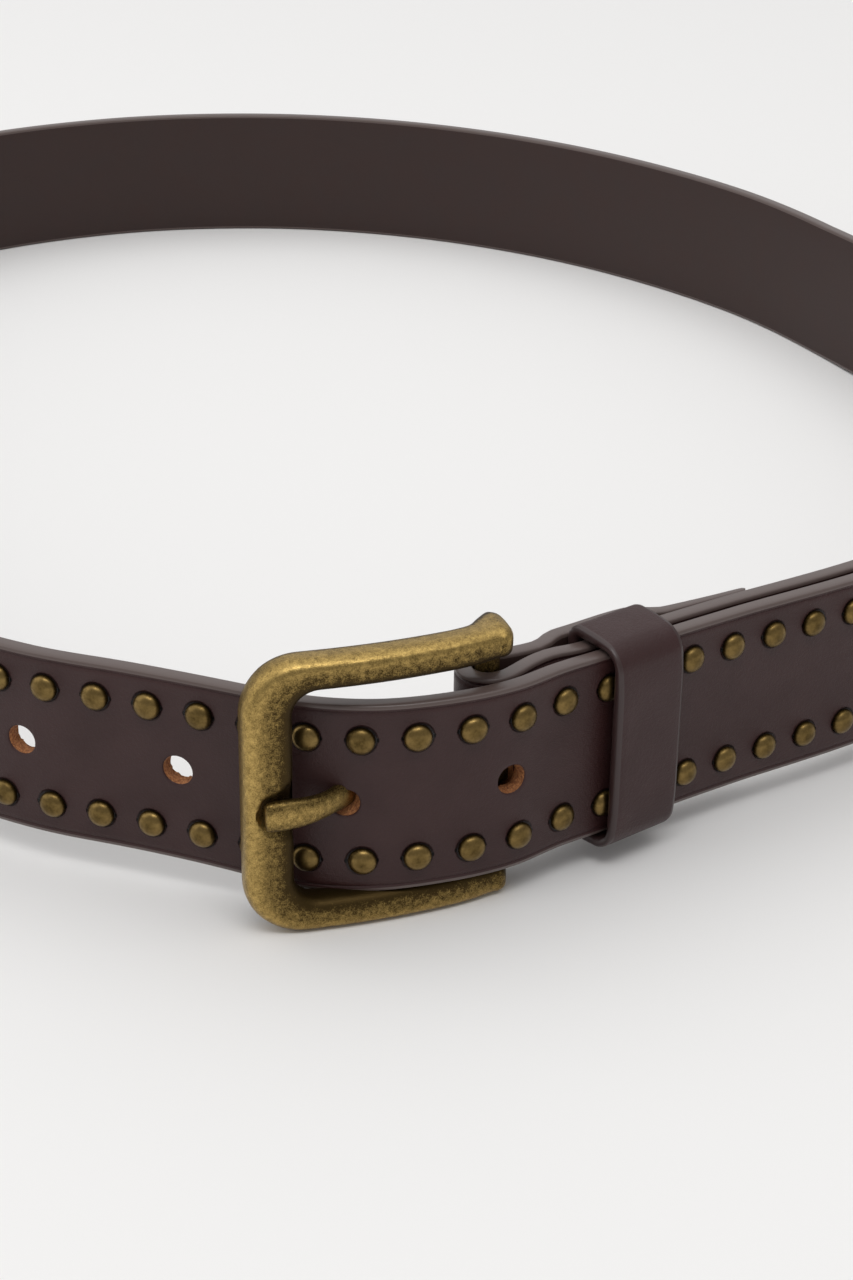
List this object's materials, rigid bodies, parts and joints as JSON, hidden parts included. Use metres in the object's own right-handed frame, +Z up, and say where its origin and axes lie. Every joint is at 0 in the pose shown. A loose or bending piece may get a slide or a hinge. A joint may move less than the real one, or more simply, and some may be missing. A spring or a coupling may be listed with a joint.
{
  "type": "studded leather belt",
  "caption": "Leather strap with two rows of small domed studs, buckled into a waist loop by a rounded frame buckle with one prong and a leather keeper, standing on its lower edge.",
  "frame": {"origin": "middle of the belt's footprint, on the floor that it stands on", "axes": "+Z up across the strap's width, +Y from the buckle towards the back of the loop, +X to the viewer's right with the buckle in front"},
  "size_m": [0.285, 0.3362, 0.0433],
  "materials": {
    "strap_leather": "smooth dark brown leather with a burgundy cast and satin painted edges; the studs on it are antique brass",
    "frame_brass": "antique brass, darkened and mottled, worn bright on the ridges",
    "prong_brass": "antique brass, darkened and mottled",
    "keeper_leather": "fine-grained dark brown leather, a little redder than the strap",
    "rivet_brass": "plain antique brass"
  },
  "bodies": {
    "root": {"strap": "strap_leather", "buckle_frame": "frame_brass", "buckle_prong": "prong_brass", "keeper": "keeper_leather", "fold_rivet": "rivet_brass"}
  },
  "joints": []
}
